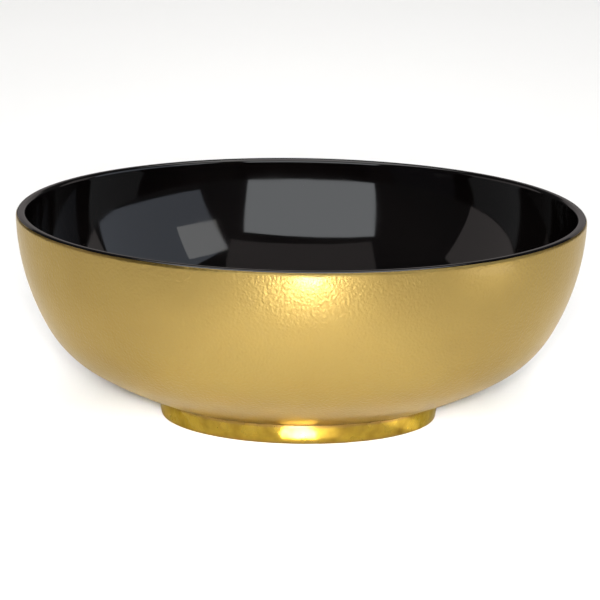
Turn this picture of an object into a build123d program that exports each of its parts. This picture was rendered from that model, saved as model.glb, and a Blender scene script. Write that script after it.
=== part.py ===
"""Gilded lacquer bowl: coiled-bamboo core and foot ring, lacquer-paste ground, gold and black coats.

Millimetres. +Z is up, and the origin is the centre of the circle that the foot stands on.
Everything is a body of revolution about Z, so each piece is drawn as half a section in the
XZ plane (radius across, height up) and turned. A surface's "inset" is how deep it lies in the
material below the finished faces.
"""

import os
from math import acos, cos, degrees, radians, sin, tan

from build123d import *

# --- Overall sizes of the finished bowl -------------------------------------------------------
rim_diameter = 250.0
bowl_height = 90.0
wall_thickness = 4.4

# --- Foot ring --------------------------------------------------------------------------------
foot_diameter = 123.0  # where the ring meets the bowl
foot_height = 8.8  # from the table to where the ring meets the bowl
foot_width = 6.4
foot_lean = 9.5  # degrees that the outer face draws in towards the table
foot_edge_round = 1.0
foot_cove_radius = 1.0  # hollow run of paste in the corners of foot and bowl
recess_depth = 7.2  # from the table up to the bowl's flat underside

# --- Curve of the wall: three tangent arcs, told by their slopes in degrees --------------------
slope_at_foot = 18.2
slope_at_shoulder = 29.6
slope_above_shoulder = 59.4
slope_at_rim = 88.7
shoulder_reach = 0.49  # share of the way out from foot to rim where the shoulder starts
floor_blend_radius = 36.0  # between the flat floor and the wall, inside

# --- Coats ------------------------------------------------------------------------------------
ground_thickness = 0.4  # lacquer paste that fills and levels the coil
finish_thickness = 0.4  # black lacquer, or gold over lacquer
paste_bed_thickness = 0.5  # between the foot ring and the bowl
black_lip_drop = 0.7  # how far the black rolls down outside the lip

# --- Worked out from the above ----------------------------------------------------------------
rim_radius = rim_diameter / 2
foot_radius = foot_diameter / 2
foot_inner_radius = foot_radius - foot_width
coats = ground_thickness + finish_thickness
lip_outer_round = 0.45 * wall_thickness
lip_inner_round = 0.36 * wall_thickness
gold_joint_height = foot_height - foot_cove_radius / 2  # inside the cove
far_out = 2 * rim_radius  # beyond every section
far_up = 2 * bowl_height


def outward(slope):
    """Unit vector out of the wall where its outside rises at this slope."""
    return Vector(sin(radians(slope)), -cos(radians(slope)))


# Underside arc, from the foot to the shoulder.
foot_point = Vector(foot_radius, foot_height)
underside_turn = outward(slope_at_shoulder) - outward(slope_at_foot)
underside_radius = shoulder_reach * (rim_radius - foot_radius) / underside_turn.X
shoulder_point = foot_point + underside_turn * underside_radius

# The shoulder's and the wall's radii are the two that bring the curve out at the rim.
shoulder_turn = outward(slope_above_shoulder) - outward(slope_at_shoulder)
wall_turn = outward(slope_at_rim) - outward(slope_above_shoulder)
to_rim = Vector(rim_radius, bowl_height) - shoulder_point
spread = shoulder_turn.X * wall_turn.Y - wall_turn.X * shoulder_turn.Y
shoulder_radius = (to_rim.X * wall_turn.Y - wall_turn.X * to_rim.Y) / spread
wall_radius = (shoulder_turn.X * to_rim.Y - to_rim.X * shoulder_turn.Y) / spread
wall_point = shoulder_point + shoulder_turn * shoulder_radius

underside_centre = foot_point - outward(slope_at_foot) * underside_radius
shoulder_centre = shoulder_point - outward(slope_at_shoulder) * shoulder_radius
wall_centre = wall_point - outward(slope_above_shoulder) * wall_radius


def filled_bowl(inset, blend=0.0):
    """Half section from the axis out to the wall's outside moved in by inset, open to far up.

    Its bottom is the flat underside moved up by inset, and blend rounds the corner between.
    """
    level = recess_depth + inset
    slope_at_flat = degrees(acos((underside_centre.Y - level) / (underside_radius - inset)))
    flat_end = underside_centre + outward(slope_at_flat) * (underside_radius - inset)
    rim_end = wall_centre + outward(slope_at_rim) * (wall_radius - inset)
    arcs = [
        (underside_centre, underside_radius, slope_at_flat, slope_at_shoulder),
        (shoulder_centre, shoulder_radius, slope_at_shoulder, slope_above_shoulder),
        (wall_centre, wall_radius, slope_above_shoulder, slope_at_rim),
    ]
    with BuildSketch() as section:
        with BuildLine():
            for centre, radius, low_slope, high_slope in arcs:
                CenterArc(centre, radius - inset, low_slope - 90, high_slope - low_slope)
            Polyline(
                (rim_end.X, rim_end.Y),
                (rim_end.X, far_up),
                (0, far_up),
                (0, level),
                (flat_end.X, flat_end.Y),
            )
        make_face()
        if blend:
            fillet(section.vertices().sort_by_distance((flat_end.X, flat_end.Y))[0], blend)
    return section.sketch_local


def ring_block(inner_radius, outer_radius, low, high):
    """Half section of a plain ring."""
    with BuildSketch() as section:
        with Locations((inner_radius, low)):
            Rectangle(outer_radius - inner_radius, high - low, align=(Align.MIN, Align.MIN))
    return section.sketch_local


def wall_section(inset):
    """Half section of the bowl without its foot, every face moved in by inset."""
    with BuildSketch() as section:
        add(filled_bowl(inset))
        add(
            filled_bowl(wall_thickness - inset, floor_blend_radius + inset),
            mode=Mode.SUBTRACT,
        )
        add(ring_block(0, far_out, 0, bowl_height - inset), mode=Mode.INTERSECT)
        top_corners = section.vertices().group_by(Axis.Y)[-1]
        fillet(top_corners.sort_by(Axis.X)[0], lip_inner_round - inset)
        top_corners = section.vertices().group_by(Axis.Y)[-1]
        fillet(top_corners.sort_by(Axis.X)[-1], lip_outer_round - inset)
    return section.sketch_local


def foot_section(inset):
    """Half section of the foot ring, run up into the wall, every face moved in by inset."""
    lean = radians(foot_lean)
    outer_at_top = foot_radius - inset / cos(lean)
    outer_at_bottom = outer_at_top - (foot_height - inset) * tan(lean)
    with BuildSketch() as section:
        with BuildLine():
            Polyline(
                (foot_inner_radius + inset, inset),
                (outer_at_bottom, inset),
                (outer_at_top, foot_height),
                (outer_at_top, foot_height + wall_thickness / 2),
                (foot_inner_radius + inset, foot_height + wall_thickness / 2),
                close=True,
            )
        make_face()
        fillet(section.vertices().group_by(Axis.Y)[0], foot_edge_round - inset)
    return section.sketch_local


def coated_section(inset):
    """Half section of bowl and foot together, with the coves in their corners."""
    with BuildSketch() as section:
        add(wall_section(inset))
        add(foot_section(inset))
        corners = section.vertices()
        outer_corner = corners.sort_by_distance((foot_radius, foot_height))[0]
        inner_corner = corners.sort_by_distance((foot_inner_radius, recess_depth))[0]
        fillet([outer_corner, inner_corner], foot_cove_radius + inset)
    return section.sketch_local


def turn_wedge(low_point, low_slope, high_point, high_slope):
    """Half section that holds the wall between two cuts square to it."""
    reach = 2 * wall_thickness
    with BuildSketch() as section:
        with BuildLine():
            corners = [
                low_point + outward(low_slope) * reach,
                high_point + outward(high_slope) * reach,
                high_point - outward(high_slope) * reach,
                low_point - outward(low_slope) * reach,
            ]
            Polyline(*[(corner.X, corner.Y) for corner in corners], close=True)
        make_face()
    return section.sketch_local


finished_shape = coated_section(0)
ground_shape = coated_section(finish_thickness)
core_wall = wall_section(coats)
core_foot = foot_section(coats)
below_bed = filled_bowl(coats - paste_bed_thickness)
core_bowl = filled_bowl(coats)
inner_half = filled_bowl(wall_thickness / 2)
underside_wedge = turn_wedge(foot_point, slope_at_foot, shoulder_point, slope_at_shoulder)
shoulder_wedge = turn_wedge(
    shoulder_point, slope_at_shoulder, wall_point, slope_above_shoulder
)
lip_block = ring_block(0, far_out, bowl_height - black_lip_drop, far_up)
recess_block = ring_block(
    0, foot_radius - foot_width / 2, foot_edge_round, recess_depth + wall_thickness / 2
)
foot_block = ring_block(0, far_out, 0, gold_joint_height)

# Core of the bowl: bamboo strip wound flat, pushed up to shape and scraped smooth. It is wound
# in four runs, and each starts against the last turn of the one before.
with BuildPart() as base_coil:
    with BuildSketch(Plane.XZ):
        add(core_wall)
        add(underside_wedge, mode=Mode.SUBTRACT)
        add(ring_block(0, foot_radius, 0, bowl_height / 2), mode=Mode.INTERSECT)
    revolve(axis=Axis.Z)

with BuildPart() as underside_coil:
    with BuildSketch(Plane.XZ):
        add(core_wall)
        add(underside_wedge, mode=Mode.INTERSECT)
    revolve(axis=Axis.Z)

with BuildPart() as shoulder_coil:
    with BuildSketch(Plane.XZ):
        add(core_wall)
        add(shoulder_wedge, mode=Mode.INTERSECT)
    revolve(axis=Axis.Z)

with BuildPart() as rim_coil:
    with BuildSketch(Plane.XZ):
        add(core_wall)
        add(underside_wedge, mode=Mode.SUBTRACT)
        add(shoulder_wedge, mode=Mode.SUBTRACT)
        add(ring_block(shoulder_point.X, far_out, 0, far_up), mode=Mode.INTERSECT)
    revolve(axis=Axis.Z)

# Foot ring: a second, small coil, its top scraped to the bowl's underside.
with BuildPart() as foot_coil:
    with BuildSketch(Plane.XZ):
        add(core_foot)
        add(below_bed, mode=Mode.SUBTRACT)
    revolve(axis=Axis.Z)

# Lacquer paste that glues the foot ring to the bowl.
with BuildPart() as foot_paste_bed:
    with BuildSketch(Plane.XZ):
        add(core_foot)
        add(below_bed, mode=Mode.INTERSECT)
        add(core_bowl, mode=Mode.SUBTRACT)
    revolve(axis=Axis.Z)

# Paste ground over the whole outside, foot and coves too, up to the middle of the lip.
with BuildPart() as outer_ground_coat:
    with BuildSketch(Plane.XZ):
        add(ground_shape)
        add(inner_half, mode=Mode.SUBTRACT)
        add(core_bowl, mode=Mode.SUBTRACT)
        add(core_foot, mode=Mode.SUBTRACT)
    revolve(axis=Axis.Z)

# The same ground over the inside.
with BuildPart() as inner_ground_coat:
    with BuildSketch(Plane.XZ):
        add(ground_shape)
        add(inner_half, mode=Mode.INTERSECT)
        add(core_wall, mode=Mode.SUBTRACT)
    revolve(axis=Axis.Z)

# Black lacquer over the inside and the lip.
with BuildPart() as black_inner_coat:
    with BuildSketch(Plane.XZ) as inner_coat_section:
        add(inner_half)
        add(lip_block)
        add(finished_shape, mode=Mode.INTERSECT)
        add(ground_shape, mode=Mode.SUBTRACT)
    revolve(axis=Axis.Z)

# Black lacquer inside the foot.
with BuildPart() as black_underside_coat:
    with BuildSketch(Plane.XZ):
        add(recess_block)
        add(finished_shape, mode=Mode.INTERSECT)
        add(ground_shape, mode=Mode.SUBTRACT)
    revolve(axis=Axis.Z)

# Gold over the outside of the bowl, from the lip down through the cove.
with BuildPart() as gold_wall_coat:
    with BuildSketch(Plane.XZ):
        add(finished_shape)
        add(ground_shape, mode=Mode.SUBTRACT)
        add(inner_half, mode=Mode.SUBTRACT)
        add(lip_block, mode=Mode.SUBTRACT)
        add(recess_block, mode=Mode.SUBTRACT)
        add(foot_block, mode=Mode.SUBTRACT)
    revolve(axis=Axis.Z)

# Gold leaf round the foot and under its standing face.
with BuildPart() as gold_foot_coat:
    with BuildSketch(Plane.XZ):
        add(foot_block)
        add(finished_shape, mode=Mode.INTERSECT)
        add(ground_shape, mode=Mode.SUBTRACT)
        add(recess_block, mode=Mode.SUBTRACT)
    revolve(axis=Axis.Z)

# --- One STEP file for each piece -------------------------------------------------------------
pieces = {
    "base_coil": base_coil,
    "underside_coil": underside_coil,
    "shoulder_coil": shoulder_coil,
    "rim_coil": rim_coil,
    "foot_coil": foot_coil,
    "foot_paste_bed": foot_paste_bed,
    "outer_ground_coat": outer_ground_coat,
    "inner_ground_coat": inner_ground_coat,
    "black_inner_coat": black_inner_coat,
    "black_underside_coat": black_underside_coat,
    "gold_wall_coat": gold_wall_coat,
    "gold_foot_coat": gold_foot_coat,
}
os.makedirs("parts", exist_ok=True)
for name, piece in pieces.items():
    piece.part.label = name
    export_step(piece.part, f"parts/{name}.step")
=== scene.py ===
"""Gilded lacquer bowl: fine meshes and finishes for its coats, its paste and its bamboo core.

Metres, +Z up, the origin where the foot stands. Every piece is turned about Z from half a
section, which is a list of (radius, height) points. A surface's "inset" is how deep it lies in
the material below the finished faces.
"""

from math import atan2, ceil, cos, pi, radians, sin, sqrt
from typing import NamedTuple

import bmesh
import bpy
from bpy.props import FloatProperty, FloatVectorProperty, IntProperty, PointerProperty
from mathutils import Matrix, Vector, noise


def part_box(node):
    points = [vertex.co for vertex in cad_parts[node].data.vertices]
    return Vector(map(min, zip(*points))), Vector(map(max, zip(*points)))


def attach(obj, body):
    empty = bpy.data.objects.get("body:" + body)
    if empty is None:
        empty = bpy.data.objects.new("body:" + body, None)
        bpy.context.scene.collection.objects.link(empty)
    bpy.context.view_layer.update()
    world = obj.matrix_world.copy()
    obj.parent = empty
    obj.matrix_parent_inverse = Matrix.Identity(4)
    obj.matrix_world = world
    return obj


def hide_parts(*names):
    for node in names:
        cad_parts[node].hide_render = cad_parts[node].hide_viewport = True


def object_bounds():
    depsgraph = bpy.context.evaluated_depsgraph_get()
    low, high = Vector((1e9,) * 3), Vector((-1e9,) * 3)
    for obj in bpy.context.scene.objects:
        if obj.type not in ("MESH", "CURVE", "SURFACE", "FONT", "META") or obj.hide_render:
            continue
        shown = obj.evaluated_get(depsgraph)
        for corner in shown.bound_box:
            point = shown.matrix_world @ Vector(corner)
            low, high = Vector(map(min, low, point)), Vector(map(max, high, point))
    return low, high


bl_info = {
    "name": "Gilded Lacquer Bowl",
    "version": (1, 0, 0),
    "blender": (4, 5, 0),
    "location": "View3D > Sidebar > Bowl",
    "description": "Builds a gilded lacquer bowl on a coiled bamboo core",
    "category": "Add Mesh",
}

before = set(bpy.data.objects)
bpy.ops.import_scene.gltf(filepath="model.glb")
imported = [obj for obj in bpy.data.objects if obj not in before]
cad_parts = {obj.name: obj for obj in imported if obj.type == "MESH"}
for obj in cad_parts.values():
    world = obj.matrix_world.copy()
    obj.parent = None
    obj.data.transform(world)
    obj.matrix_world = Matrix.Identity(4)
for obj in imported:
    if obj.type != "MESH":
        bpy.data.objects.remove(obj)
cad_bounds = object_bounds()
MM = 0.001
BODY = "root"

# Meshes
MERGE_DISTANCE = 0.001 * MM
CREASE_ANGLE = radians(35)  # an edge sharper than this stays sharp
BOX_TOLERANCE = 0.5 * MM  # how far a piece's box may be from its CAD solid's
LIP_STEP = 0.25 * MM
COVE_STEP = 0.12 * MM
RECESS_COVE_STEP = 0.15 * MM
STEPS_PER_STRIP = 4  # points along the core's outline for each turn of strip
FOOT_COIL_EDGE = 4  # how many grooves deep its lower edges are rounded

# Stage, in metres and degrees
FLOOR_RADIUS = 12
ROOM_LIGHT = 0.045  # strength of the room's own light on the bowl and the floor
SEEN_LIGHT = 1.0  # how bright the room looks where the camera sees past the floor
ROOM_TINT = (0.96, 0.98, 1.0)
OVAL_BELOW = 0.5  # a light narrower than this is oval, so that its glint has no corners
CAMERA_TARGET = (-0.0001, 0, 0.0509)
CAMERA_ELEVATION = 12.21
CAMERA_DISTANCE = 3.507
CAMERA_ROLL = 0.89
CAMERA_LENS = 480  # millimetres, as is the sensor's width
CAMERA_SENSOR = 36


def length(name, description, default):
    """A length that a user would change."""
    return FloatProperty(name=name, description=description, default=default, unit="LENGTH")


def angle(name, description, default):
    """An angle that a user would change, with its default in degrees."""
    return FloatProperty(
        name=name, description=description, default=radians(default), unit="ROTATION"
    )


def colour(name, description, default):
    """A linear colour that a user would change."""
    return FloatVectorProperty(
        name=name, description=description, default=default, subtype="COLOR", min=0, max=1
    )


def share(name, description, default):
    """A number from 0 to 1."""
    return FloatProperty(
        name=name, description=description, default=default, subtype="FACTOR", min=0, max=1
    )


class BowlShape(bpy.types.PropertyGroup):
    """Sizes of the bowl, its foot and the layers of its wall"""

    rim_radius: length("Rim Radius", "Where the wall's curve ends, at the lip", 125 * MM)
    height: length("Height", "From the table to the lip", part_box("black_inner_coat")[1].z)
    wall: length("Wall", "From the gold face to the black face", 4.4 * MM)
    foot_radius: length("Foot Radius", "Where the foot ring meets the bowl", 61.5 * MM)
    foot_height: length("Foot Height", "From the table to where the ring ends", 8.8 * MM)
    foot_width: length("Foot Width", "Thickness of the foot ring", 6.4 * MM)
    foot_lean: angle("Foot Lean", "How far the ring's outer face draws in below", 9.5)
    foot_edge: length("Foot Edge", "Rounding of the foot ring's two lower edges", 1 * MM)
    cove: length("Cove", "Radius of the hollow corners of foot and bowl", 1 * MM)
    recess: length("Recess", "From the table up to the bowl's flat underside", 7.2 * MM)
    slope_at_foot: angle("Slope At Foot", "Where the wall leaves the foot", 18.2)
    slope_at_shoulder: angle("Slope At Shoulder", "Where the tight curve starts", 29.6)
    slope_above_shoulder: angle("Slope Above Shoulder", "Where the tight curve ends", 59.4)
    slope_at_rim: angle("Slope At Rim", "Where the wall reaches the lip", 88.7)
    shoulder_reach: share("Shoulder Reach", "Share of the way out to the shoulder", 0.49)
    floor_blend: length("Floor Blend", "Radius between floor and wall, inside", 36 * MM)
    ground: length("Ground", "Thickness of the paste ground", 0.4 * MM)
    finish: length("Finish", "Thickness of the lacquer coats", 0.4 * MM)
    paste_bed: length("Paste Bed", "Paste between the foot ring and the bowl", 0.5 * MM)
    lip_outer: share("Outer Lip Round", "Share of the wall that rounds the lip outside", 0.45)
    lip_inner: share("Inner Lip Round", "Share of the wall that rounds the lip inside", 0.36)
    lip_drop: length("Lip Drop", "How far the black rolls down outside the lip", 0.7 * MM)
    strip: length("Strip", "Thickness of one turn of bamboo strip", 1.25 * MM)
    strip_groove: length("Strip Groove", "Depth of the groove between two turns", 0.12 * MM)
    steps: IntProperty(name="Steps", description="Faces round each coat", default=192)
    coil_steps: IntProperty(name="Coil Steps", description="Faces round each coil", default=160)


class BowlFinish(bpy.types.PropertyGroup):
    """Colours and polish of the finishes"""

    gold: colour("Gold", "Gold powder in lacquer", (0.345, 0.238, 0.066))
    gold_deep: colour("Deep Gold", "Where the gold lies thin", (0.275, 0.178, 0.046))
    leaf: colour("Leaf", "Burnished leaf on the foot", (0.33, 0.225, 0.028))
    leaf_deep: colour("Deep Leaf", "Where the leaf is rubbed", (0.12, 0.062, 0.004))
    # Brown of wear at the foot's standing edge, and also the painted shade in the cove where foot
    # and wall meet
    worn_and_shaded: colour("Worn Gold", "Brown of worn edges and of the joint", (0.20, 0.115, 0.03))
    black: colour("Black", "Black lacquer", (0.0007, 0.0005, 0.0005))
    black_haze: colour("Black Haze", "Its browner patches", (0.00175, 0.00125, 0.00125))
    bamboo: colour("Bamboo", "Scraped bamboo strip", (0.62, 0.44, 0.22))
    bamboo_dark: colour("Dark Bamboo", "Strip seen end on, and its glue", (0.30, 0.17, 0.07))
    paste: colour("Paste", "Rubbed lacquer paste", (0.055, 0.034, 0.022))
    paste_pale: colour("Pale Paste", "Sawdust in the paste", (0.13, 0.085, 0.05))


# --- Section of the wall ------------------------------------------------------------------------
def outward(slope_angle):
    """Unit vector out of the wall where its outside rises at this slope."""
    return Vector((sin(slope_angle), -cos(slope_angle)))


def arc_points(centre, radius, start, end, step):
    """Points on an arc between two angles of outward(), the first one left out."""
    count = max(2, ceil(abs(end - start) * radius / step))
    return [
        centre + radius * outward(start + (end - start) * i / count) for i in range(1, count + 1)
    ]


def line_points(start, end, step):
    """Points on a straight stretch, the first one left out."""
    count = max(1, ceil((end - start).length / step))
    return [start.lerp(end, i / count) for i in range(1, count + 1)]


class Section:
    """Half section of the finished bowl and of every surface inside its wall"""

    def __init__(self, shape):
        self.shape = shape
        foot_point = Vector((shape.foot_radius, shape.foot_height))
        foot, shoulder = shape.slope_at_foot, shape.slope_at_shoulder
        above, rim = shape.slope_above_shoulder, shape.slope_at_rim
        under_turn = outward(shoulder) - outward(foot)
        under_radius = shape.shoulder_reach * (shape.rim_radius - shape.foot_radius) / under_turn.x
        shoulder_point = foot_point + under_turn * under_radius
        shoulder_turn = outward(above) - outward(shoulder)
        wall_turn = outward(rim) - outward(above)
        to_rim = Vector((shape.rim_radius, shape.height)) - shoulder_point
        spread = shoulder_turn.cross(wall_turn)
        shoulder_radius = to_rim.cross(wall_turn) / spread
        wall_radius = shoulder_turn.cross(to_rim) / spread
        wall_point = shoulder_point + shoulder_turn * shoulder_radius
        self.cuts = [
            (foot_point, foot),
            (shoulder_point, shoulder),
            (wall_point, above),
        ]
        self.arcs = [
            (foot_point - outward(foot) * under_radius, under_radius, shoulder),
            (shoulder_point - outward(shoulder) * shoulder_radius, shoulder_radius, above),
            (wall_point - outward(above) * wall_radius, wall_radius, rim),
        ]

    def blend(self, inset, radius):
        """Centre of the round between the flat bottom of a surface and its curve, and the slope."""
        centre, curve_radius, _ = self.arcs[0]
        height = self.shape.recess + inset + radius
        drop = centre.y - height
        across = sqrt((curve_radius - inset - radius) ** 2 - drop**2)
        return Vector((centre.x + across, height)), atan2(across, drop)

    def lip_round(self, inset, radius, top):
        """Centre of a lip's round, and the slope where it leaves a wall surface."""
        centre, wall_radius, _ = self.arcs[2]
        height = top - abs(radius)
        drop = centre.y - height
        across = sqrt((wall_radius - inset - radius) ** 2 - drop**2)
        return Vector((centre.x + across, height)), atan2(across, drop)

    def face(self, inset, round_radius, top_slope, step):
        """One surface of the wall, from the axis out and up to a slope near the lip."""
        level = self.shape.recess + inset
        centre, slope_now = self.blend(inset, round_radius)
        points = [Vector((0, level))]
        points += line_points(points[0], Vector((centre.x, level)), step)
        if round_radius:
            points += arc_points(centre, round_radius, 0, slope_now, step)
        for arc_centre, radius, slope_after in self.arcs:
            slope_after = min(slope_after, top_slope)
            points += arc_points(arc_centre, radius - inset, slope_now, slope_after, step)
            slope_now = slope_after
        return points

    def around(self, inset, step):
        """The wall's outline at an inset: underside, outside, lip, inside and floor."""
        shape = self.shape
        top = shape.height - inset
        outer_round = shape.lip_outer * shape.wall - inset
        inner_round = shape.lip_inner * shape.wall - inset
        across = shape.wall - inset
        outer_centre, outer_slope = self.lip_round(inset, outer_round, top)
        inner_centre, inner_slope = self.lip_round(across, -inner_round, top)
        fine = min(step, LIP_STEP)
        outside = self.face(inset, 0, outer_slope, step)
        lip = arc_points(outer_centre, outer_round, outer_slope, pi, fine)
        lip += line_points(lip[-1], Vector((inner_centre.x, top)), fine)
        lip += arc_points(inner_centre, inner_round, pi, pi + inner_slope, fine)
        inside = self.face(across, shape.floor_blend + inset, inner_slope, step)
        return outside + lip + inside[-2::-1]

    def foot_face(self, inset):
        """The foot's outer face: its outward normal and how far it lies along that."""
        lean = self.shape.foot_lean
        normal = Vector((cos(lean), -sin(lean)))
        joint = Vector((self.shape.foot_radius, self.shape.foot_height))
        return normal, joint.dot(normal) - inset

    def on_foot_face(self, inset, height):
        """The point on the foot's outer face at a height."""
        normal, distance = self.foot_face(inset)
        return Vector(((distance - normal.y * height) / normal.x, height))

    def outer_cove(self):
        """Centre of the cove outside: its radius away from the foot's face and from the bowl."""
        centre, radius, _ = self.arcs[0]
        normal, distance = self.foot_face(0)
        start = normal * (distance + self.shape.cove)
        along = Vector((-normal.y, normal.x))
        gap = start - centre
        half = gap.dot(along)
        reach = radius + self.shape.cove
        return start + along * (-half - sqrt(half**2 - gap.length_squared + reach**2))

    def gilded_line(self, inset, step):
        """The outside's surface: under the foot, up its face, through the cove and to the lip."""
        shape = self.shape
        edge = shape.foot_edge
        cove = self.outer_cove()
        normal, distance = self.foot_face(0)
        inner_centre = Vector((shape.foot_radius - shape.foot_width + edge, edge))
        outer_centre = Vector(((distance - edge - normal.y * edge) / normal.x, edge))
        away = (cove - self.arcs[0][0]).normalized()
        past_cove = atan2(away.x, -away.y)
        points = [inner_centre - Vector((edge - inset, 0))]
        points += arc_points(inner_centre, edge - inset, -pi / 2, 0, step)
        points += line_points(points[-1], Vector((outer_centre.x, inset)), step)
        points += arc_points(outer_centre, edge - inset, 0, pi / 2 - shape.foot_lean, step)
        points += line_points(points[-1], cove - normal * (shape.cove + inset), step)
        start, end = atan2(-normal.x, normal.y), atan2(-away.x, away.y)
        points += arc_points(cove, shape.cove + inset, start, end, COVE_STEP)
        wall = [p for p in self.around(inset, step) if self.slope_of(p) > past_cove]
        return points + wall[: self.lip_index(wall) + 1]

    def slope_of(self, point):
        """Slope of the underside curve that a point lies over."""
        ray = point - self.arcs[0][0]
        return atan2(ray.x, -ray.y)

    def lip_index(self, points):
        """Index of the first of the highest points."""
        return max(range(len(points)), key=lambda i: (points[i].y, -i))

    def parted(self, points, height):
        """A line of points in two, cut where it first rises through a height."""
        for i, (low, high) in enumerate(zip(points, points[1:])):
            if low.y < height <= high.y:
                cut = low.lerp(high, (height - low.y) / (high.y - low.y))
                return points[: i + 1] + [cut], [cut] + points[i + 1 :]
        raise ValueError("the line doesn't rise through that height")

    def joint_height(self):
        """Height in the cove where the foot's leaf meets the wall's gold."""
        return self.shape.foot_height - self.shape.cove / 2

    def lip_line(self):
        """Height where the gold outside meets the black of the lip."""
        return self.shape.height - self.shape.lip_drop

    def leaf_face(self, inset, step):
        """The foot's surface from its inner edge round, under it and up to the joint."""
        return self.parted(self.gilded_line(inset, step), self.joint_height())[0]

    def gold_face(self, inset, step):
        """The outside's surface from the joint in the cove up to the lip line."""
        above = self.parted(self.gilded_line(inset, step), self.joint_height())[1]
        return self.parted(above, self.lip_line())[0]

    def black_face(self, inset, step):
        """The inside's surface from the lip line over the lip and down to the floor's centre."""
        return self.parted(self.around(inset, step), self.lip_line())[1]

    def recess_face(self, inset, step):
        """The surface inside the foot, from the axis out and down to the foot's edge round."""
        shape = self.shape
        inner = shape.foot_radius - shape.foot_width
        corner = Vector((inner - shape.cove, shape.recess - shape.cove))
        points = [Vector((0, shape.recess + inset))]
        points += line_points(points[0], Vector((corner.x, shape.recess + inset)), step)
        points += arc_points(corner, shape.cove + inset, pi, pi / 2, RECESS_COVE_STEP)
        points += line_points(points[-1], Vector((inner + inset, shape.foot_edge)), step)
        return points


# --- Meshes -------------------------------------------------------------------------------------
def turned(name, front, back, steps, wave=None):
    """A closed piece of revolution between two lines that run the same way.

    wave takes the place of a point on the front and gives how far it is lifted.
    """
    mesh = bmesh.new()
    visible = mesh.verts.layers.int.new("visible")
    ring = []
    for line, shown in ((front, 1), (back[::-1], 0)):
        for point in line:
            vertex = mesh.verts.new((max(point.x, 0), 0, point.y))
            vertex[visible] = shown
            ring.append(vertex)
    for start, end in zip(ring, ring[1:] + ring[:1]):
        if start.co.x > 0 or end.co.x > 0:
            mesh.edges.new((start, end))
    bmesh.ops.spin(
        mesh,
        geom=mesh.verts[:] + mesh.edges[:],
        cent=(0, 0, 0),
        axis=(0, 0, 1),
        dvec=(0, 0, 0),
        angle=2 * pi,
        steps=steps,
        use_merge=True,
        use_duplicate=False,
    )
    bmesh.ops.remove_doubles(mesh, verts=mesh.verts[:], dist=MERGE_DISTANCE)
    bmesh.ops.recalc_face_normals(mesh, faces=mesh.faces[:])
    mesh.normal_update()
    if wave:
        lifts = [(v, v.normal * wave(v.co)) for v in mesh.verts if v[visible]]
        for vertex, lift in lifts:
            vertex.co += lift
    for face in mesh.faces:
        face.smooth = True
    for edge in mesh.edges:
        edge.smooth = edge.calc_face_angle(0) < CREASE_ANGLE
    mesh.verts.layers.int.remove(visible)
    data = bpy.data.meshes.new(name)
    mesh.to_mesh(data)
    mesh.free()
    piece = bpy.data.objects.new(name, data)
    bpy.context.scene.collection.objects.link(piece)
    return piece


def place(piece, material, node):
    """Gives a finished piece its material and its body, and hides the CAD node it stands for, once
    the piece's box lies close to that node's.
    """
    piece.data.materials.append(material)
    low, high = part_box(node)
    new_low = Vector([min(v.co[i] for v in piece.data.vertices) for i in range(3)])
    new_high = Vector([max(v.co[i] for v in piece.data.vertices) for i in range(3)])
    off = max((new_low - low).length, (new_high - high).length)
    if off > BOX_TOLERANCE:
        raise ValueError(f"{piece.name} lies {off / MM:.2f} mm away from {node}")
    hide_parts(node)
    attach(piece, BODY)


def waviness(size, depth, seed):
    """A gentle unevenness of that size across and that depth, as hand rubbing leaves.

    It fades out over the last millimetre above the table, so the standing face stays flat.
    """

    def wave(position):
        fade = min(1, position.z / MM)
        return fade * depth * noise.noise(position / size + Vector((seed, seed, seed)))

    return wave


def coat(name, node, face, spacing, steps, wave, material):
    """One coat: its shown face, and its back, with points that far apart on each."""
    shown, hidden = spacing
    thickness = bpy.context.scene.bowl_shape.finish
    piece = turned(name, face(0, shown), face(thickness, hidden), steps, wave)
    place(piece, material, node)


# --- Materials ----------------------------------------------------------------------------------
class Number:
    """A shader value that Python sums work on"""

    def __init__(self, recipe, socket):
        self.recipe = recipe
        self.socket = socket

    def maths(self, operation, *values):
        """One Math node."""
        inputs = {i: value for i, value in enumerate(values)}
        made = self.recipe.node("ShaderNodeMath", {"operation": operation}, inputs)
        return Number(self.recipe, made.outputs[0])

    def __add__(self, other):
        return self.maths("ADD", self, other)

    def __radd__(self, other):
        return self.maths("ADD", other, self)

    def __sub__(self, other):
        return self.maths("SUBTRACT", self, other)

    def __rsub__(self, other):
        return self.maths("SUBTRACT", other, self)

    def __mul__(self, other):
        return self.maths("MULTIPLY", self, other)

    def __rmul__(self, other):
        return self.maths("MULTIPLY", other, self)

    def __truediv__(self, other):
        return self.maths("DIVIDE", self, other)

    def __pow__(self, other):
        return self.maths("POWER", self, other)


class Nodes:
    """The node tree of a material or a world, and the one way in which its nodes are added"""

    def __init__(self, owner):
        owner.use_nodes = True
        self.tree = owner.node_tree
        self.tree.nodes.clear()

    def node(self, kind, settings=None, inputs=None):
        """A node of a kind with its settings made first, then its inputs set or linked."""
        made = self.tree.nodes.new(kind)
        for key, value in (settings or {}).items():
            setattr(made, key, value)
        for key, value in (inputs or {}).items():
            self.feed(made.inputs[key], value)
        return made

    def feed(self, socket, value):
        """Links a socket, or sets it to a number, vector or colour."""
        if isinstance(value, Number):
            value = value.socket
        if isinstance(value, bpy.types.NodeSocket):
            self.tree.links.new(value, socket)
        elif isinstance(value, (int, float)):
            socket.default_value = value
        else:
            given = tuple(value)
            socket.default_value = given + (1,) * (len(socket.default_value) - len(given))


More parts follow.
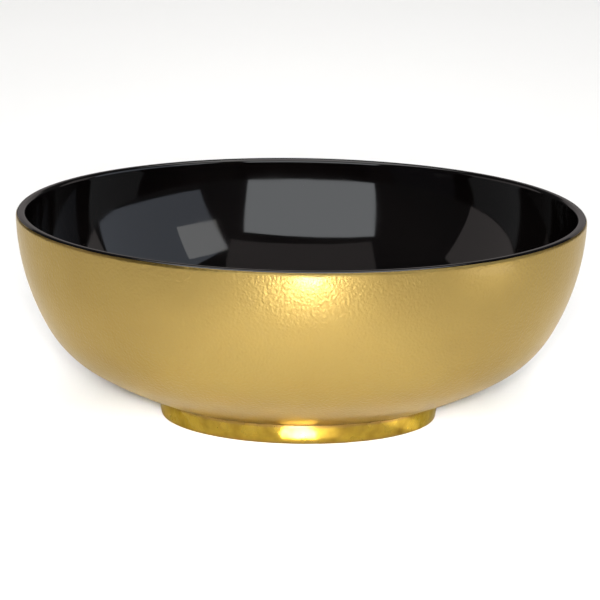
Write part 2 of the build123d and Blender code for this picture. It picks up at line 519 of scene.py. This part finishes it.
class Recipe(Nodes):
    """A node material and the patterns that it is mixed from"""

    def __init__(self, name):
        self.material = bpy.data.materials.new(name)
        super().__init__(self.material)
        self.shader = self.node("ShaderNodeBsdfPrincipled")
        self.node("ShaderNodeOutputMaterial", None, {"Surface": self.shader.outputs[0]})
        self.place = self.node("ShaderNodeTexCoord").outputs["Object"]

    def stretched(self, factors):
        """The place on the piece, scaled for a pattern that is longer one way."""
        inputs = {"Vector": self.place, "Scale": factors}
        return self.node("ShaderNodeMapping", None, inputs).outputs[0]

    def noise(self, size, detail=3.0, rough=0.5, vector=None, fourth=None):
        """Soft random values about 0.5, that change over that size in metres."""
        settings = {"noise_dimensions": "4D" if fourth else "3D"}
        inputs = {"Scale": 1 / size, "Detail": detail, "Roughness": rough}
        inputs["Vector"] = vector or self.place
        if fourth:
            inputs["W"] = fourth
        made = self.node("ShaderNodeTexNoise", settings, inputs)
        return Number(self, made.outputs[0])

    def grains(self, size):
        """Distance to the middle of the nearest of many scattered grains of that size."""
        settings = {"feature": "SMOOTH_F1"}
        inputs = {"Vector": self.place, "Scale": 1 / size, "Smoothness": 0.4}
        return Number(self, self.node("ShaderNodeTexVoronoi", settings, inputs).outputs[0])

    def range(self, value, low, high, to_low=0.0, to_high=1.0):
        """A value taken from one range to another, and held inside it."""
        inputs = {0: value, 1: low, 2: high, 3: to_low, 4: to_high}
        return Number(self, self.node("ShaderNodeMapRange", None, inputs).outputs[0])

    def mix(self, amount, first, second):
        """A colour between two, which are the node's seventh and eighth inputs."""
        inputs = {"Factor": amount, 6: first, 7: second}
        return self.node("ShaderNodeMix", {"data_type": "RGBA"}, inputs).outputs[2]

    def parts(self):
        """The place's X, Y and Z."""
        made = self.node("ShaderNodeSeparateXYZ", None, {0: self.place})
        return [Number(self, socket) for socket in made.outputs]

    def bump(self, height, depth, strength=1.0, below=None):
        """A Bump node's normal: height is in parts of depth, a length."""
        inputs = {"Height": height, "Distance": depth, "Strength": strength}
        if below:
            inputs["Normal"] = below
        return self.node("ShaderNodeBump", None, inputs).outputs[0]

    def finish(self, **sockets):
        """Sets or links the shader's sockets, named with _ for a space, and gives the material."""
        for name, value in sockets.items():
            self.feed(self.shader.inputs[name.replace("_", " ")], value)
        return self.material


def gold_lacquer(look, joint):
    """Gold powder dusted on wet lacquer and sealed: satin, and grainy where light catches it."""
    recipe = Recipe("gold_lacquer")
    height = recipe.parts()[2]
    cloud = recipe.range(recipe.noise(45 * MM, 4.0, 0.6), 0.35, 0.7)
    speck = recipe.range(recipe.noise(1.4 * MM, 2.0, 0.6), 0.55, 0.8)
    grain = recipe.noise(1.2 * MM, 1.0, 0.5) - 0.6 * recipe.grains(1.4 * MM)
    peel = recipe.noise(8 * MM, 2.0, 0.5)
    # Painted shade: a soft brown band just above the joint height, in the cove between foot and
    # wall, where shade falls
    ragged = height + 1.2 * MM * recipe.noise(4 * MM, 3.0, 0.6)
    joint_shade = recipe.range(ragged, joint + 0.5 * MM, joint + 2.0 * MM, 0.75, 0.0)
    thin = cloud * 0.3 + speck * 0.2
    normal = recipe.bump(peel, 0.15 * MM, 0.5)
    normal = recipe.bump(grain, 0.15 * MM, 1.0, normal)
    gold = recipe.mix(thin, look.gold, look.gold_deep)
    return recipe.finish(
        Base_Color=recipe.mix(joint_shade, gold, look.worn_and_shaded),
        Metallic=1.0,
        Roughness=0.31 + 0.08 * recipe.noise(9 * MM),
        Specular_Tint=(0.92, 0.82, 0.62),
        Coat_Weight=0.22,
        Coat_Roughness=0.15,
        Normal=normal,
    )


def gold_leaf(look, joint):
    """Burnished leaf: bright, softly blotched, with wear at the standing edge and painted shade in
    the joint.
    """
    recipe = Recipe("gold_leaf")
    height = recipe.parts()[2]
    upright = recipe.stretched((1, 1, 0.35))
    crease = recipe.noise(1.1 * MM, 2.0, 0.5, upright)
    dent = recipe.noise(5 * MM, 2.0, 0.5)
    rubbed = recipe.range(recipe.noise(12 * MM, 3.0, 0.55), 0.30, 0.70)
    ragged = height + 1.0 * MM * (recipe.noise(3 * MM, 3.0, 0.6) - 0.5)
    edge = recipe.range(ragged, 0.5 * MM, 1.5 * MM, 0.8, 0.0)
    # Painted shade: a brown band below the joint height, at the top of the leaf in the cove, where
    # shade falls
    joint_shade = recipe.range(ragged, joint - 1.2 * MM, joint - 0.3 * MM, 0.0, 0.95)
    normal = recipe.bump(dent, 0.30 * MM, 0.6)
    normal = recipe.bump(crease, 0.05 * MM, 0.6, normal)
    leaf = recipe.mix(rubbed * 0.8, look.leaf, look.leaf_deep)
    return recipe.finish(
        Base_Color=recipe.mix(edge + joint_shade, leaf, look.worn_and_shaded),
        Metallic=1.0,
        Roughness=0.24 + 0.12 * rubbed,
        Specular_Tint=(0.92, 0.80, 0.45),
        Coat_Weight=0.08,
        Coat_Roughness=0.2,
        Normal=normal,
    )


def black_lacquer(look):
    """Deep polished black lacquer with the faint swell that hand rubbing leaves."""
    recipe = Recipe("black_lacquer")
    swell = recipe.noise(16 * MM, 2.0, 0.4)
    haze = recipe.range(recipe.noise(30 * MM, 3.0), 0.35, 0.75)
    dust = recipe.range(recipe.grains(9 * MM), 0.0, 0.035, 1.0, 0.0)
    normal = recipe.bump(swell, 0.06 * MM, 0.5)
    normal = recipe.bump(dust, 0.02 * MM, 0.5, normal)
    return recipe.finish(
        Base_Color=recipe.mix(haze * 0.5, look.black, look.black_haze),
        Roughness=0.035 + 0.05 * haze,
        IOR=1.55,
        Normal=normal,
    )


def bamboo(look, strip):
    """Scraped bamboo strip: pale turns, each a little different, with darker fibre ends."""
    recipe = Recipe("bamboo")
    x, y, z = recipe.parts()
    radius = (x * x + y * y) ** 0.5
    around = {0: radius * (1 / strip), 1: z * (1 / strip), 2: x / radius}
    vector = recipe.node("ShaderNodeCombineXYZ", None, around).outputs[0]
    turn = recipe.noise(1.0, 2.0, 0.5, vector, y / radius)
    fibre = recipe.noise(0.35, 3.0, 0.6, vector, y / radius * 3)
    knot = recipe.range(recipe.noise(14 * MM, 2.0), 0.62, 0.75)
    tone = recipe.range(turn * 0.6 + fibre * 0.4 + knot * 0.3, 0.35, 0.85)
    return recipe.finish(
        Base_Color=recipe.mix(tone, look.bamboo, look.bamboo_dark),
        Roughness=0.55 + 0.2 * fibre,
        Normal=recipe.bump(fibre, 0.08 * MM, 0.6),
    )


def lacquer_paste(look):
    """Dark paste of lacquer and sawdust, rubbed level."""
    recipe = Recipe("lacquer_paste")
    mottle = recipe.noise(5 * MM, 4.0, 0.6)
    fleck = recipe.range(recipe.noise(0.8 * MM, 2.0), 0.55, 0.75)
    tone = recipe.range(mottle * 0.7 + fleck * 0.4, 0.3, 0.9)
    return recipe.finish(
        Base_Color=recipe.mix(tone, look.paste, look.paste_pale),
        Roughness=0.62 + 0.2 * mottle,
        Normal=recipe.bump(mottle + fleck, 0.06 * MM, 0.6),
    )


def pale_floor():
    """Matt near-white board."""
    recipe = Recipe("pale_floor")
    tone = recipe.range(recipe.noise(0.4, 3.0), 0.2, 0.8)
    return recipe.finish(
        Base_Color=recipe.mix(tone, (0.90, 0.90, 0.895), (0.88, 0.88, 0.875)),
        Roughness=0.9,
        Specular_IOR_Level=0.1,
    )


# --- Core ---------------------------------------------------------------------------------------
def cut_line(line, cuts):
    """The stretch of a line that lies between two cuts square to the wall."""
    kept = list(line)
    for (point, slope), side in cuts:
        along = Vector((cos(slope), sin(slope)))
        sides = [side * (p - point).dot(along) for p in kept]
        result = []
        for i, here in enumerate(kept):
            if sides[i] >= 0:
                result.append(here)
            if i + 1 < len(kept) and sides[i] * sides[i + 1] < 0:
                result.append(here.lerp(kept[i + 1], sides[i] / (sides[i] - sides[i + 1])))
        kept = result
    return kept


def scored(section, inset, strip, groove):
    """The core's outline with a groove where each turn of strip meets the next."""
    ridge = section.around(inset, strip / STEPS_PER_STRIP)
    line = []
    for i, point in enumerate(ridge):
        before, after = ridge[max(i - 1, 0)], ridge[min(i + 1, len(ridge) - 1)]
        along = (after - before).normalized()
        inwards = Vector((-along.y, along.x))
        at_groove = i % STEPS_PER_STRIP == 0 and 0 < i < len(ridge) - 1
        line.append(point + inwards * groove if at_groove else point)
    return line


# --- Operators ----------------------------------------------------------------------------------
class BOWL_OT_bamboo_core(bpy.types.Operator):
    """Build the four runs of the coiled core and the foot's coil"""

    bl_idname = "bowl.bamboo_core"
    bl_label = "Bamboo Core"

    def execute(self, context):
        """Make the pieces."""
        shape = context.scene.bowl_shape
        section = Section(shape)
        finish = bamboo(context.scene.bowl_finish, shape.strip)
        coats = shape.ground + shape.finish
        line = scored(section, coats, shape.strip, shape.strip_groove)
        top = section.lip_index(line)
        outside, inside = line[: top + 1], line[:top:-1]
        foot, shoulder, above = section.cuts
        runs = {
            "base_coil": [(foot, -1)],
            "underside_coil": [(foot, 1), (shoulder, -1)],
            "shoulder_coil": [(shoulder, 1), (above, -1)],
            "rim_coil": [(above, 1)],
        }
        for name, cuts in runs.items():
            outer, inner = cut_line(outside, cuts), cut_line(inside, cuts)
            place(turned(f"{name}_strip", outer, inner, shape.coil_steps), finish, name)
        self.foot_coil(shape, section, finish, coats)
        return {"FINISHED"}

    def foot_coil(self, shape, section, finish, coats):
        """The foot ring's coil, scored on its top and bottom, and rounded at its lower edges."""
        inner = shape.foot_radius - shape.foot_width + coats
        outer_below = section.on_foot_face(coats, coats).x
        outer_above = section.on_foot_face(coats, shape.foot_height).x
        last = STEPS_PER_STRIP * round((outer_below - inner) / shape.strip)
        centre, radius, _ = section.arcs[0]
        bed_inset = coats - shape.paste_bed
        bed_radius = radius - bed_inset
        bottom, top = [], []
        for i in range(last + 1):
            groove = 0 if i % STEPS_PER_STRIP else shape.strip_groove
            edge = FOOT_COIL_EDGE * shape.strip_groove if i in (0, last) else 0
            low = inner + (outer_below - inner) * i / last
            high = inner + (outer_above - inner) * i / last
            under_bowl = centre.y - sqrt(bed_radius**2 - (high - centre.x) ** 2)
            under_bed = max(under_bowl, shape.recess + bed_inset)
            bottom.append(Vector((low, coats + groove + edge)))
            top.append(Vector((high, under_bed - groove)))
        place(turned("foot_coil_strip", bottom, top, shape.coil_steps), finish, "foot_coil")


class BOWL_OT_paste(bpy.types.Operator):
    """Give the paste bed and the ground coats their finish"""

    bl_idname = "bowl.paste"
    bl_label = "Lacquer Paste"

    def execute(self, context):
        """Assign the material to the frame's own pieces."""
        finish = lacquer_paste(context.scene.bowl_finish)
        for name in ("foot_paste_bed", "outer_ground_coat", "inner_ground_coat"):
            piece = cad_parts[name]
            piece.data.materials.clear()
            piece.data.materials.append(finish)
        return {"FINISHED"}


class BOWL_OT_black_coats(bpy.types.Operator):
    """Build the black lacquer inside the bowl and inside its foot"""

    bl_idname = "bowl.black_coats"
    bl_label = "Black Lacquer"

    def execute(self, context):
        """Make the pieces."""
        shape = context.scene.bowl_shape
        section = Section(shape)
        finish = black_lacquer(context.scene.bowl_finish)
        wave = waviness(28 * MM, 0.035 * MM, 3)
        coat(
            "black_inner_lacquer", "black_inner_coat",
            section.black_face, (1.2 * MM, 6 * MM), shape.steps, wave, finish,
        )
        wave = waviness(22 * MM, 0.05 * MM, 9)
        coat(
            "black_underside_lacquer", "black_underside_coat",
            section.recess_face, (2 * MM, 8 * MM), shape.steps, wave, finish,
        )
        return {"FINISHED"}


class BOWL_OT_gold_wall(bpy.types.Operator):
    """Build the gold lacquer round the bowl"""

    bl_idname = "bowl.gold_wall"
    bl_label = "Gold Wall"

    def execute(self, context):
        """Make the piece."""
        shape = context.scene.bowl_shape
        section = Section(shape)
        finish = gold_lacquer(context.scene.bowl_finish, section.joint_height())
        wave = waviness(24 * MM, 0.06 * MM, 5)
        coat(
            "gold_wall_lacquer", "gold_wall_coat",
            section.gold_face, (1 * MM, 6 * MM), shape.steps, wave, finish,
        )
        return {"FINISHED"}


class BOWL_OT_gold_foot(bpy.types.Operator):
    """Build the gold leaf round the foot"""

    bl_idname = "bowl.gold_foot"
    bl_label = "Gold Foot"

    def execute(self, context):
        """Make the piece, with twice the steps because its unevenness is finer."""
        shape = context.scene.bowl_shape
        section = Section(shape)
        finish = gold_leaf(context.scene.bowl_finish, section.joint_height())
        wave = waviness(3.5 * MM, 0.02 * MM, 7)
        coat(
            "gold_foot_leaf", "gold_foot_coat",
            section.leaf_face, (0.35 * MM, 1.5 * MM), 2 * shape.steps, wave, finish,
        )
        return {"FINISHED"}


class Light(NamedTuple):
    """A light that faces a target from an elevation and azimuth in degrees, that far away

    Azimuth 0 is straight in front of the bowl and 90 is on its right. The size is its width and
    height in metres, and its power is its glow times width, height and pi. A small spread keeps
    it to a narrow beam, and shows says whether it is seen in reflections.
    """

    name: str
    target: tuple
    elevation: float
    azimuth: float
    distance: float
    size: tuple
    glow: float
    tint: tuple
    spread: float = 180
    shows: bool = True


MIDDLE = (0, 0, 0.05)
FRONT_LIP = (0, -0.12, 0.08)
SIDE_LIP = (0.083, -0.093, 0.08)
FRONT_FOOT = (0, -0.0608, 0.0045)
SIDE_FOOT = (0.0445, -0.0415, 0.0045)
PLAIN, WARM, COOL, ROSY = (1, 0.99, 0.97), (1, 0.98, 0.92), (0.78, 0.86, 1), (1, 0.9, 0.88)
DAYLIGHT = (0.93, 0.97, 1)
GLINT = (1, 0.98, 0.98)
LIGHTS = (
    # The room that the lacquer reflects
    Light("overhead", MIDDLE, 88, 0, 2.4, (2.6, 2.6), 2.2, PLAIN),
    Light("front_window", MIDDLE, 18, -4, 3.4, (3.6, 1.9), 2.5, DAYLIGHT),
    Light("right_window", MIDDLE, 24, 72, 3.0, (3.2, 1.9), 0.9, COOL),
    Light("right_pane", MIDDLE, 30, 50, 2.8, (0.9, 0.8), 1.6, WARM),
    Light("left_wall", MIDDLE, 16, -100, 3.0, (2.4, 1.7), 0.45, ROSY),
    Light("right_wall", MIDDLE, 16, 114, 3.0, (1.1, 1.7), 0.45, ROSY),
    Light("front_sky", MIDDLE, 50, 0, 3.2, (3.6, 1.4), 0.3, ROSY),
    Light("back_panel", MIDDLE, 14, 180, 3.4, (4.0, 1.2), 0.25, ROSY),
    # Glints on the gold, from just above the floor
    Light("wall_glint", FRONT_LIP, -16, 4.5, 0.24, (0.055, 0.027), 50, GLINT),
    Light("side_glint", SIDE_LIP, -16, 82, 0.24, (0.14, 0.018), 3, WARM),
    Light("foot_glint", FRONT_FOOT, -31, 2, 0.006, (0.018, 0.007), 3.2, WARM, 50),
    Light("foot_glow", FRONT_FOOT, -31, 10, 0.0065, (0.05, 0.008), 0.45, WARM, 50),
    Light("foot_side", SIDE_FOOT, -22, 94, 0.009, (0.035, 0.008), 0.2, WARM, 60),
    # Light for the floor, unseen in reflections
    Light("far_floor", (0, 1, 0), 85, 0, 2.0, (3, 1.6), 0.6, PLAIN, shows=False),
    Light("floor_key", (0, 0, 0), 20, 0, 5.0, (1.6, 1.6), 30, PLAIN, shows=False),
    Light("floor_pool", (0, -0.13, 0), 15, 0, 1.3, (0.12, 0.12), 15, PLAIN, 15, False),
)


def aim(target, elevation, azimuth, distance):
    """Where something stands that looks at a target, and its turn towards it."""
    elevation, azimuth = radians(elevation), radians(azimuth)
    back = Vector((
        sin(azimuth) * cos(elevation),
        -cos(azimuth) * cos(elevation),
        sin(elevation),
    ))
    turn = (-back).to_track_quat("-Z", "Y").to_matrix().to_4x4()
    return Matrix.Translation(Vector(target) + back * distance) @ turn


class BOWL_OT_stage(bpy.types.Operator):
    """Set up the floor, the soft lights and the camera"""

    bl_idname = "bowl.stage"
    bl_label = "Stage"

    def execute(self, context):
        """Make them."""
        self.floor(context)
        self.world(context)
        for light in LIGHTS:
            self.lamp(context, light)
        self.camera(context)
        context.scene.view_settings.view_transform = "Standard"
        return {"FINISHED"}

    def lamp(self, context, light):
        """One soft lamp that the camera doesn't see itself."""
        data = bpy.data.lights.new(light.name, "AREA")
        data.shape = "ELLIPSE" if min(light.size) < OVAL_BELOW else "RECTANGLE"
        data.size, data.size_y = light.size
        data.energy = light.glow * light.size[0] * light.size[1] * pi
        data.color = light.tint
        data.spread = radians(light.spread)
        lamp = bpy.data.objects.new(light.name, data)
        lamp.matrix_world = aim(light.target, light.elevation, light.azimuth, light.distance)
        lamp.visible_camera = False
        lamp.visible_glossy = light.shows
        context.scene.collection.objects.link(lamp)

    def floor(self, context):
        """A wide round board under the bowl."""
        mesh = bmesh.new()
        bmesh.ops.create_circle(mesh, cap_ends=True, segments=96, radius=FLOOR_RADIUS)
        bmesh.ops.translate(mesh, verts=mesh.verts[:], vec=(0, 0, cad_bounds[0].z))
        data = bpy.data.meshes.new("floor")
        mesh.to_mesh(data)
        mesh.free()
        data.materials.append(pale_floor())
        board = bpy.data.objects.new("floor", data)
        context.scene.collection.objects.link(board)

    def world(self, context):
        """A dim studio that looks pale where the camera sees past the floor."""
        world = bpy.data.worlds.new("studio")
        nodes = Nodes(world)
        seen = nodes.node("ShaderNodeLightPath").outputs["Is Camera Ray"]
        inputs = {"Value": seen, "To Min": ROOM_LIGHT, "To Max": SEEN_LIGHT}
        strength = nodes.node("ShaderNodeMapRange", None, inputs).outputs[0]
        inputs = {"Color": ROOM_TINT, "Strength": strength}
        background = nodes.node("ShaderNodeBackground", None, inputs).outputs[0]
        nodes.node("ShaderNodeOutputWorld", None, {"Surface": background})
        context.scene.world = world

    def camera(self, context):
        """A long lens, a little above the lip, with the bowl's right side tipped down a hair."""
        data = bpy.data.cameras.new("camera")
        data.sensor_width = CAMERA_SENSOR
        data.lens = CAMERA_LENS
        data.clip_start = 0.1
        data.clip_end = 60
        camera = bpy.data.objects.new("camera", data)
        aimed = aim(CAMERA_TARGET, CAMERA_ELEVATION, 0, CAMERA_DISTANCE)
        camera.matrix_world = aimed @ Matrix.Rotation(radians(CAMERA_ROLL), 4, "Z")
        context.scene.collection.objects.link(camera)
        context.scene.camera = camera


class BOWL_PT_panel(bpy.types.Panel):
    """Lists the bowl's pieces"""

    bl_label = "Gilded Lacquer Bowl"
    bl_idname = "BOWL_PT_panel"
    bl_space_type = "VIEW_3D"
    bl_region_type = "UI"
    bl_category = "Bowl"

    def draw(self, context):
        """Draw a button for each piece and a field for each size and colour."""
        for operator in OPERATORS:
            self.layout.operator(operator.bl_idname)
        for group in (context.scene.bowl_shape, context.scene.bowl_finish):
            for name in group.bl_rna.properties.keys():
                if name not in ("rna_type", "name"):
                    self.layout.prop(group, name)


OPERATORS = (
    BOWL_OT_bamboo_core,
    BOWL_OT_paste,
    BOWL_OT_black_coats,
    BOWL_OT_gold_wall,
    BOWL_OT_gold_foot,
    BOWL_OT_stage,
)
CLASSES = (BowlShape, BowlFinish, *OPERATORS, BOWL_PT_panel)


def register():
    """Register the classes and the settings."""
    for cls in CLASSES:
        bpy.utils.register_class(cls)
    bpy.types.Scene.bowl_shape = PointerProperty(type=BowlShape)
    bpy.types.Scene.bowl_finish = PointerProperty(type=BowlFinish)


def unregister():
    """Undo register."""
    del bpy.types.Scene.bowl_finish
    del bpy.types.Scene.bowl_shape
    for cls in reversed(CLASSES):
        bpy.utils.unregister_class(cls)


def main():
    """Build everything."""
    register()
    bpy.ops.bowl.bamboo_core()
    bpy.ops.bowl.paste()
    bpy.ops.bowl.black_coats()
    bpy.ops.bowl.gold_wall()
    bpy.ops.bowl.gold_foot()
    bpy.ops.bowl.stage()


if __name__ == "__main__":
    main()
